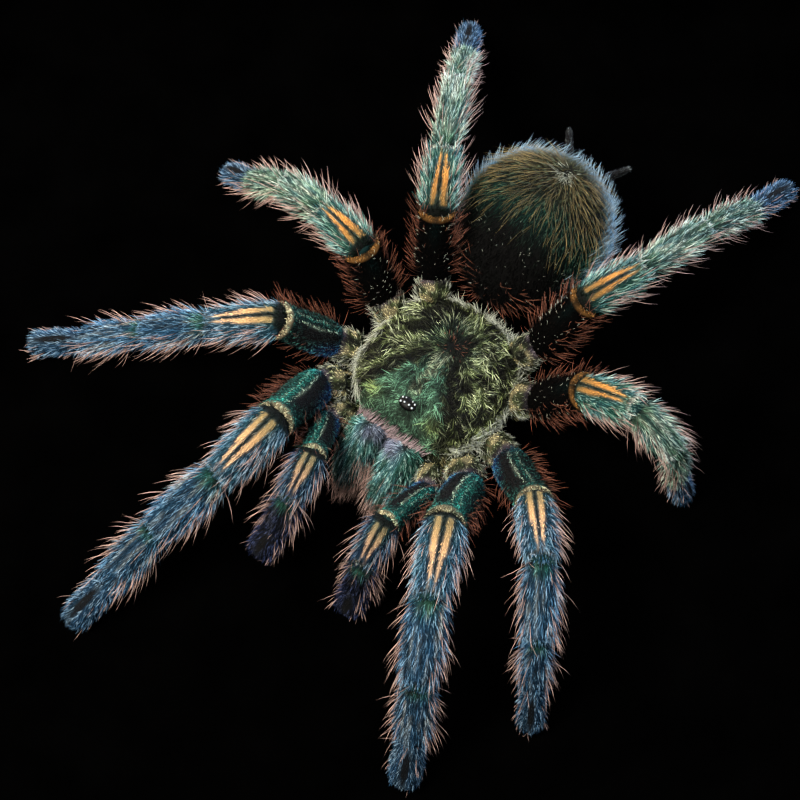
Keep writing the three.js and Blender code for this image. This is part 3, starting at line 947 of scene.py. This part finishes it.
def fineCopy(node, levels):
    # a merged and subdivided copy of a CAD node, as arrays
    piece = objectFrom(copyOfNode(node), node + "_work")
    smooth = piece.modifiers.new("smooth", "SUBSURF")
    smooth.levels = levels
    smooth.render_levels = levels
    graph = bpy.context.evaluated_depsgraph_get()
    mesh = bpy.data.meshes.new_from_object(piece.evaluated_get(graph))
    bpy.data.objects.remove(piece)
    body = bodyFromMesh(mesh)
    bpy.data.meshes.remove(mesh)
    return body


carapaceSettings = {
    "pitMm": (-4.2, -0.4),      # forward and left of the middle: where the hairs radiate from
    "eyesMm": (6.7, -0.5),
    "cornerMm": (8.6, 6.8),     # the head's front corners
    "pile": {"density": 31, "lengthMm": (0.45, 0.95), "widthMm": 0.095, "lift": 15, "jitter": 20,
             "darkMost": 2.0, "litMarks": 0.0},
    "long": {"density": 6, "lengthMm": (0.8, 1.5), "widthMm": 0.095, "lift": 20, "jitter": 20,
             "rings": 3, "curl": 0.5, "darkMost": 1.3, "litMarks": 0.0},
    "fringe": {"count": 1600, "lengthMm": (1.0, 2.3), "widthMm": 0.07, "lift": 14, "jitter": 24,
               "rings": 3, "curl": 0.25, "darkMost": 0.7},
    "comb": {"count": 330, "lengthMm": (1.3, 2.1), "widthMm": 0.11, "lift": 32, "jitter": 9,
             "rings": 3, "curl": 0.25, "darkMost": 1.3},
    "tuft": {"count": 60, "lengthMm": (0.6, 1.3), "widthMm": 0.09, "lift": 30, "jitter": 25,
             "rings": 2},
}


def rimShare(place):
    # 0 in the middle of the carapace and 1 at its edge
    return (np.abs(place[:, 1]) / 10.9) ** 2.5 + (np.abs(place[:, 0]) / 11.0) ** 2.5


def carapaceCover(roots):
    fore, side = roots["place"][:, 0], roots["place"][:, 1] + 0.5
    pitFore, _ = carapaceSettings["pitMm"]
    cornerFore, cornerSide = carapaceSettings["cornerMm"]
    away = np.hypot(fore - pitFore, side)
    turn = np.arctan2(side, fore - pitFore)
    strokes = clump(np.column_stack([away / 3.0, np.cos(turn) * 9, np.sin(turn) * 9]), 5)
    patches = clump(roots["place"] / 2.6, 6)
    fine = clump(roots["place"] / 0.9, 8)
    slope = cornerSide / (cornerFore - pitFore)
    wedge = np.abs(side) - slope * (fore - pitFore) + 0.9 * (fine - 0.5)
    head = smoothStep(0.35, -0.55, wedge) * smoothStep(0.6, 2.2, away)
    rim = smoothStep(0.80, 0.97, rimShare(roots["place"]))
    band = smoothStep(1.9, 0.5, np.abs(wedge - 0.9)) * smoothStep(1.0, 3.0, away) * (fore > pitFore)
    corner = np.exp(-((fore - 7.3) ** 2 + (np.abs(side) - 4.9) ** 2) / 1.6)
    brow = smoothStep(7.6, 9.2, fore) * smoothStep(5.5, 3.5, np.abs(side))
    median = (smoothStep(0.5, 0.15, np.abs(np.abs(side) - 0.45)) * smoothStep(6.0, 4.0, fore)
              * (fore > pitFore))
    pit = np.exp(-(away / 1.1) ** 2)
    nearPit = np.exp(-(away / 3.0) ** 2)
    thorax = 0.55 * strokes + 0.45 * fine
    dark = smoothStep(0.62, 0.34, patches * 0.55 + fine * 0.45) * (1 - head) * 0.96
    shade = np.maximum.reduce([0.96 * band, 0.55 * brow, 0.95 * pit, dark,
                               head * 0.8 * smoothStep(0.5, 0.25, strokes)])
    nearRim = 0.5 * smoothStep(0.45, 0.75, rimShare(roots["place"])) * fine * (1 - head)
    return zones(roots, mark=np.maximum(head, 0.8 * nearPit),
                 ring=rim * 0.8 * (fore < 9) + 0.5 * median * head,
                 glow=corner * 0.8 + nearRim, shade=shade * (1 - rim),
                 run=(fore - pitFore) / 11 + 0.35 * (patches - 0.5),
                 clump=smoothStep(0.35, 0.8, thorax))


def makeCarapace():
    body = fineCopy("carapace", 1)
    body["place"] = fromBody(body["points"], bodyCentre)
    pitFore, pitSide = carapaceSettings["pitMm"]
    pit = np.array(bodyCentre) + (forwardRow * pitFore + leftRow * pitSide) * mm

    def outward(roots):
        # away from the pit, in lazy waves
        away = roots["points"] - pit
        away[:, 2] = 0
        waves = clump(roots["place"] / 1.5, 9) - 0.5
        sway = np.radians(130) * waves * smoothStep(2, 5, np.hypot(*away.T[:2]) / mm)
        across = np.column_stack([-away[:, 1], away[:, 0], away[:, 2]])
        return unit(away * np.cos(sway)[:, None] + across * np.sin(sway)[:, None])

    def alongRim(roots):
        away = outward(roots)
        across = np.column_stack([-away[:, 1], away[:, 0], away[:, 2]])
        return unit(away + across * 1.1 - forwardRow * 0.3)

    def over(centres):
        return 0.1 + 0.9 * (centres["place"][:, 2] > -2.2)

    def behind(centres):
        fore, side, _ = centres["place"].T
        return (over(centres) * (rimShare(centres["place"]) < 0.85)
                * smoothStep(4.0, 0.0, fore - np.abs(side) * 1.2))

    def edge(centres):
        fore, _, up = centres["place"].T
        return ((rimShare(centres["place"]) > 0.8) & (fore < 8.2) & (up < 1.2)) * 1.0

    def brow(centres):
        fore, side, _ = centres["place"].T
        return ((fore > 9.3) & (np.abs(side) < 7.4) & (centres["normals"][:, 2] < 0.75)) * 1.0

    def atPit(centres):
        fore, side, _ = centres["place"].T
        return np.exp(-((fore - pitFore) ** 2 + (side - pitSide) ** 2) / 1.4)

    combed = pointing(forwardRow * 0.9 - leftRow * 0.25 + np.array([0, 0, -0.2]))
    parts = [skinPart(body, carapaceCover, tone=0.1)]
    parts += grownParts(body, carapaceCover, carapaceSettings, [
        ("pile", over, outward, 0), ("long", behind, outward, 0), ("fringe", edge, alongRim, 1),
        ("comb", brow, combed, 2), ("tuft", atPit, outward, 3)])
    piece = joinParts("haired_carapace", parts,
                      [coats["carapace"], bristles["pale"], bristles["mauve"], bristles["rust"]])
    finishPiece(piece, "carapace_pile", "carapace")
    return body


eyeSettings = {
    "mound": (1.45, 1.0, 0.62),   # half width, half length and height in millimetres
    "sinkMm": 0.15,
    "splay": 0.2,                 # how far the eyes lean outwards
    # each eye is a socket and a lens: share of the radius, height in millimetres, slot
    "balls": [(1.6, -0.06, 0), (1.0, 0.17, 1)],
    # side, forward and radius of the eyes of one side, in millimetres
    "eyes": [(0.36, 0.30, 0.15), (0.90, 0.42, 0.15), (0.96, -0.20, 0.14), (0.52, -0.36, 0.10)],
}


def makeEyes(carapace):
    # eight eyes in two rows on a low smooth mound
    fore, side = carapaceSettings["eyesMm"]
    flat = np.hypot(carapace["place"][:, 0] - fore, carapace["place"][:, 1] - side)
    ground = carapace["points"][(flat + 50 * (carapace["normals"][:, 2] < 0.3)).argmin()]
    centre = Vector(ground) - Vector((0, 0, eyeSettings["sinkMm"] * mm))
    turn = Matrix((left, forward, Vector((0, 0, 1)))).transposed().to_4x4()
    wide, long, tall = eyeSettings["mound"]
    work = bmesh.new()
    bmesh.ops.create_uvsphere(work, u_segments=32, v_segments=16, radius=mm)
    bmesh.ops.scale(work, vec=(wide, long, tall), verts=work.verts)
    for face in work.faces:
        face.material_index = 0
    for mirrored in (1, -1):
        for eyeSide, eyeFore, radius in eyeSettings["eyes"]:
            up = tall * math.sqrt(max(0, 1 - (eyeSide / wide) ** 2 - (eyeFore / long) ** 2))
            place = Vector((eyeSide * mirrored, eyeFore, up)) * mm
            splay = eyeSettings["splay"]
            lean = Vector((eyeSide * mirrored * splay, eyeFore * splay, 1))
            for share, lift, slot in eyeSettings["balls"]:
                sphere = bmesh.ops.create_uvsphere(work, u_segments=18, v_segments=12,
                                                   radius=radius * share * mm)
                bmesh.ops.translate(work, vec=place + lean * lift * mm, verts=sphere["verts"])
                for face in {face for vert in sphere["verts"] for face in vert.link_faces}:
                    face.material_index = slot
    bmesh.ops.transform(work, matrix=Matrix.Translation(centre) @ turn, verts=work.verts)
    eyes = objectFrom(work, "eye_mound_with_eyes")
    eyes.data.materials.append(gloss["mound"])
    eyes.data.materials.append(gloss["lens"])
    eyes.data.shade_smooth()
    finishPiece(eyes, "carapace_pile")


abdomenSettings = {
    "patchMm": (-7.3, 0.2),   # forward and left of the middle: where the long hairs start
    "sinkMm": 0.7,            # the skin lies this deep under the pile
    "pile": {"density": 13, "lengthMm": (0.7, 1.4), "widthMm": 0.09, "lift": 18, "jitter": 18},
    # pale blue hair on the flanks and rear, partly its own colour and partly painted rim light
    "paleBlueRim": {"density": 13, "lengthMm": (0.8, 1.7), "widthMm": 0.08, "lift": 34, "jitter": 13,
             "rings": 2, "curl": 0.1, "darkMost": 0.8},
    "gold": {"count": 1000, "lengthMm": (1.8, 3.8), "widthMm": 0.06, "lift": 13, "jitter": 17,
             "rings": 3, "curl": 0.15, "darkMost": 1.6},
    "spikes": {"count": 450, "lengthMm": (1.6, 3.2), "widthMm": 0.075, "lift": 48, "jitter": 14,
               "rings": 3, "curl": 0.15, "darkMost": 0.7},
    "tuft": {"count": 90, "lengthMm": (0.7, 1.6), "widthMm": 0.07, "lift": 24, "jitter": 30,
             "rings": 2, "curl": 0.1, "darkMost": 0.8},
    "waist": {"count": 120, "lengthMm": (1.5, 3.2), "widthMm": 0.09, "lift": 50, "jitter": 20,
              "rings": 3, "curl": 0.1},
    "specks": {"count": 90, "lengthMm": (0.3, 0.7), "widthMm": 0.07, "lift": 50, "jitter": 20,
               "darkMost": 0.6},
}


def blueShare(roots):
    # the flanks and the rear, below the crown, are pale blue: partly the spider's own blue hair and
    # partly a painted rim light along the body's outline
    facing = roots["normals"][:, :2] @ forwardRow[:2]
    limit = 0.47 - 0.2 * facing
    return (smoothStep(limit + 0.12, limit - 0.12, roots["normals"][:, 2])
            * smoothStep(0.6, 0.1, facing)
            * smoothStep(-0.5, 0.0, roots["normals"][:, 2]))


def abdomenCover(roots):
    fore, side, up = roots["place"].T
    patchFore, patchSide = abdomenSettings["patchMm"]
    away = np.hypot(fore - patchFore, side - patchSide)
    cloud = clump(roots["place"] / 3.5, 21)
    return zones(roots, mark=blueShare(roots),
                 ring=smoothStep(11, 2, away) * (0.3 + 0.7 * cloud) * 0.8,
                 glow=smoothStep(-4, 1, fore) * smoothStep(7, 2, fore) * (0.4 + 0.6 * cloud),
                 shade=smoothStep(-0.5, 6.5, fore + 2.5 * (cloud - 0.5)) * 0.98, clump=cloud)


def makeAbdomen():
    body = fineCopy("abdomen", 1)
    body["points"] = body["points"] - body["normals"] * abdomenSettings["sinkMm"] * mm
    centre = middle("abdomen")
    body["place"] = fromBody(body["points"], centre)
    patchFore, patchSide = abdomenSettings["patchMm"]
    patch = np.array(centre) + (forwardRow * patchFore + leftRow * patchSide) * mm

    def crown(centres):
        return smoothStep(0.0, 0.3, centres["normals"][:, 2])

    def gold(centres):
        return crown(centres) * smoothStep(5.0, -3.0, centres["place"][:, 0])

    def waist(centres):
        return (centres["place"][:, 0] > 9.5) * (centres["place"][:, 2] < 3.0) * 1.0

    def dark(centres):
        return crown(centres) * smoothStep(1.0, 6.0, centres["place"][:, 0])

    def atPatch(centres):
        fore, side, _ = centres["place"].T
        apart = (fore - patchFore - 0.6) ** 2 + (side - patchSide) ** 2
        return crown(centres) * np.exp(-apart / 0.8)

    fromPatch = awayFrom(patch, 0.2)
    rearward = pointing(-forwardRow + np.array([0, 0, 0.1]))
    parts = [skinPart(body, abdomenCover, tone=0.1)]
    parts += grownParts(body, abdomenCover, abdomenSettings, [
        ("pile", lambda centres: 0.3 + 0.7 * crown(centres), fromPatch, 0),
        ("paleBlueRim", blueShare, rearward, 0), ("gold", gold, fromPatch, 1),
        ("spikes", blueShare, rearward, 2), ("tuft", atPatch, fromPatch, 4),
        ("waist", waist, rearward, 3), ("specks", dark, rearward, 4)])
    piece = joinParts("haired_abdomen", parts,
                      [coats["abdomen"], bristles["golden"], bristles["paleBlueRim"], bristles["rust"],
                       bristles["pale"]])
    finishPiece(piece, "abdomen_pile", "abdomen")


cheliceraHair = {
    "pile": {"density": 20, "lengthMm": (0.6, 1.2), "widthMm": 0.08, "lift": 12, "jitter": 9},
    "long": {"density": 3, "lengthMm": (1.0, 1.8), "widthMm": 0.075, "lift": 16, "jitter": 8,
             "rings": 2, "curl": 0.1},
    "bristles": {"count": 260, "lengthMm": (1.6, 3.8), "widthMm": 0.08, "lift": 24, "jitter": 10,
                 "rings": 3, "curl": 0.1, "darkMost": 0.7},
}


def makeChelicera(letter):
    node = "chelicera_" + letter
    start, end, radius = nodeAxis(node, bodyCentre)
    along = np.array((end - start).normalized())
    length = (end - start).length
    inner = 1 if letter == "R" else -1
    body = fineCopy(node, 2)
    offset = body["points"] - np.array(start)
    height = (body["points"] - body["points"].mean(axis=0))[:, 2]
    body["place"] = np.column_stack([offset @ along / length, offset @ leftRow * inner / radius,
                                     height / radius])

    def cover(roots):
        run, side, up = roots["place"].T
        streaks = clump(np.column_stack([run * 3, side * 6, up * 0]), 31 + inner)
        base = smoothStep(0.26, 0.08, run) * smoothStep(-0.5, 0.3, side)
        lines = smoothStep(0.07, 0.02, np.abs(side + 0.55 - 0.25 * run)) * 0.9
        lines = np.maximum(lines, smoothStep(0.05, 0.01, np.abs(side + 0.15 - 0.3 * run)) * 0.7
                           * (run > 0.3))
        low = smoothStep(0.1, -0.6, up) * 0.7
        return zones(roots, mark=base * 0.85, glow=smoothStep(0.5, 0.1, run)
                     * smoothStep(0, -0.6, side) * 0.6,
                     shade=np.maximum.reduce([lines, low, smoothStep(0.75, 1.0, run) * 0.5,
                                              0.6 * smoothStep(0.35, 0.15, streaks)]), run=run,
                     clump=streaks)

    def fanned(roots):
        return along + leftRow * inner * roots["place"][:, 1:2] * 0.25

    def lower(centres):
        run, side, _ = centres["place"].T
        return (0.08 + smoothStep(0.1, 0.8, side) + smoothStep(0.6, 0.9, run)) * (run > 0.35)

    parts = [skinPart(body, cover)] + grownParts(body, cover, cheliceraHair, [
        ("pile", None, fanned, 0), ("long", None, fanned, 0), ("bristles", lower, fanned, 1)])
    piece = joinParts("haired_" + node, parts, [coats["chelicera"], bristles["pink"]])
    finishPiece(piece, "chelicera_pile", node)
    return start, end, radius


hornSettings = {
    "sides": 14, "rings": 12, "tipShare": 0.08,
    "fang": {"lengthMm": 5.6, "thickMm": 0.75, "bend": 1.5, "backMm": 1.4},
    "claw": {"lengthMm": 1.2, "thickMm": 0.16, "bend": 1.1, "backMm": 0.5, "apartMm": 0.35},
}


def addHorn(work, place, aim, towards, horn):
    # a cone bent towards one side, for a fang or a claw
    length, thick, bend = horn["lengthMm"] * mm, horn["thickMm"] * mm, horn["bend"]
    for vert in work.verts:
        vert.tag = True
    bmesh.ops.create_cone(work, cap_ends=True, segments=hornSettings["sides"], radius1=thick,
                          radius2=thick * hornSettings["tipShare"], depth=length)
    sides = [edge for edge in work.edges if not edge.verts[0].tag
             and abs(edge.verts[0].co.z - edge.verts[1].co.z) > length * 0.5]
    bmesh.ops.subdivide_edges(work, edges=sides, cuts=hornSettings["rings"], use_grid_fill=True)
    verts = [vert for vert in work.verts if not vert.tag]
    for vert in verts:
        share = vert.co.z / length + 0.5
        angle = bend * share
        reach = length / bend * math.sin(angle)
        fall = length / bend * (1 - math.cos(angle))
        wide = vert.co.x
        vert.co = Vector((fall + wide * math.cos(angle), vert.co.y, reach - wide * math.sin(angle)))
    aim = aim.normalized()
    towards = (towards - aim * towards.dot(aim)).normalized()
    turn = Matrix((towards, aim.cross(towards), aim)).transposed().to_4x4()
    bmesh.ops.transform(work, matrix=Matrix.Translation(place) @ turn, verts=verts)


def makeHorns(jaws):
    # fangs folded under the jaws, two claws on every leg and one on a palp
    fang, claw = hornSettings["fang"], hornSettings["claw"]
    work = bmesh.new()
    for start, end, radius in jaws:
        along = (end - start).normalized()
        place = end - along * fang["backMm"] * mm - Vector((0, 0, radius * 0.35))
        addHorn(work, place, along * 0.7 - Vector((0, 0, 0.7)), -along, fang)
    for limb, (_, joints, _) in limbs.items():
        along = (joints[-1] - joints[-2]).normalized()
        across = along.cross(Vector((0, 0, 1))).normalized()
        for turned in (1, -1) if limb in legNames else (0.3,):
            out = across * turned
            place = joints[-1] - along * claw["backMm"] * mm + out * claw["apartMm"] * mm
            aim = along + out * 0.2 + Vector((0, 0, 0.25))
            addHorn(work, place, aim, -Vector((0, 0, 1)), claw)
    bmesh.ops.recalc_face_normals(work, faces=work.faces)
    horns = objectFrom(work, "fangs_and_claws")
    horns.data.materials.append(gloss["black"])
    horns.data.shade_smooth()
    finishPiece(horns, "chelicera_pile")


undersideHair = {
    "pile": {"density": 12, "lengthMm": (0.5, 1.0), "widthMm": 0.09, "lift": 22, "jitter": 24},
    "long": {"count": 480, "lengthMm": (0.9, 1.9), "widthMm": 0.06, "lift": 42, "jitter": 24,
             "rings": 3, "curl": 0.1},
}


def makeUnderside():
    # the sternum and the leg bases
    node = "sternum_and_coxae"
    body = fineCopy(node, 1)
    centre = middle(node)
    body["place"] = fromBody(body["points"], centre)

    def cover(roots):
        spots = clump(roots["points"] / (1.7 * mm), 41)
        out = np.hypot(roots["place"][:, 0], roots["place"][:, 1])
        return zones(roots, mark=smoothStep(0.6, 0.85, spots) * smoothStep(9, 11, out) * 0.8,
                     shade=np.maximum(smoothStep(0.45, 0.15, spots) * 0.8, smoothStep(9, 6, out)
                                      * 0.7),
                     clump=clump(roots["points"] / (0.9 * mm), 42))

    def upper(centres):
        return 0.25 + 0.75 * smoothStep(-0.4, 0.2, centres["normals"][:, 2])

    parts = [skinPart(body, cover)] + grownParts(body, cover, undersideHair, [
        ("pile", upper, awayFrom(centre), 0), ("long", upper, awayFrom(centre), 1)])
    piece = joinParts("haired_" + node, parts, [coats["coxa"], bristles["pale"]])
    finishPiece(piece, "coxa_pile", node)


spinneretHair = {"density": 26, "lengthMm": (0.3, 0.55), "widthMm": 0.06, "lift": 25, "jitter": 16}


def makeSpinneret(letter):
    node = "spinneret_" + letter
    start, end, radius = nodeAxis(node, middle("abdomen"))
    along = np.array((end - start).normalized())
    body = fineCopy(node, 2)
    run = (body["points"] - np.array(start)) @ along / (end - start).length
    body["place"] = np.column_stack([run, run * 0, run * 0 + 1])

    def cover(roots):
        return zones(roots, ring=smoothStep(0.8, 1.0, roots["place"][:, 0]) * 0.4,
                     clump=clump(roots["points"] / mm, 51))

    parts = [skinPart(body, cover), hairPart(body, cover, spinneretHair, pointing(along))]
    finishPiece(joinParts("haired_" + node, parts, [coats["spinneret"]]), "spinneret_skin", node)


makeEyes(makeCarapace())
makeAbdomen()
makeHorns([makeChelicera(letter) for letter in "RL"])
makeUnderside()
for letter in "RL":
    makeSpinneret(letter)
print("body made")


# ---- floor and world ----

def makeStage():
    work = bmesh.new()
    bmesh.ops.create_grid(work, x_segments=2, y_segments=2, size=floorSettings["size"] / 2)
    floor = objectFrom(work, "floor")
    material, tree, shader = newMaterial("floor_paper")
    shader.inputs["Base Color"].default_value = linear(floorSettings["colour"])
    shader.inputs["Roughness"].default_value = 0.9
    floor.data.materials.append(material)
    world = bpy.data.worlds.new("studio")
    world.use_nodes = True
    background = world.node_tree.nodes["Background"]
    background.inputs["Color"].default_value = linear(floorSettings["world"])
    background.inputs["Strength"].default_value = floorSettings["worldStrength"]
    bpy.context.scene.world = world


makeStage()
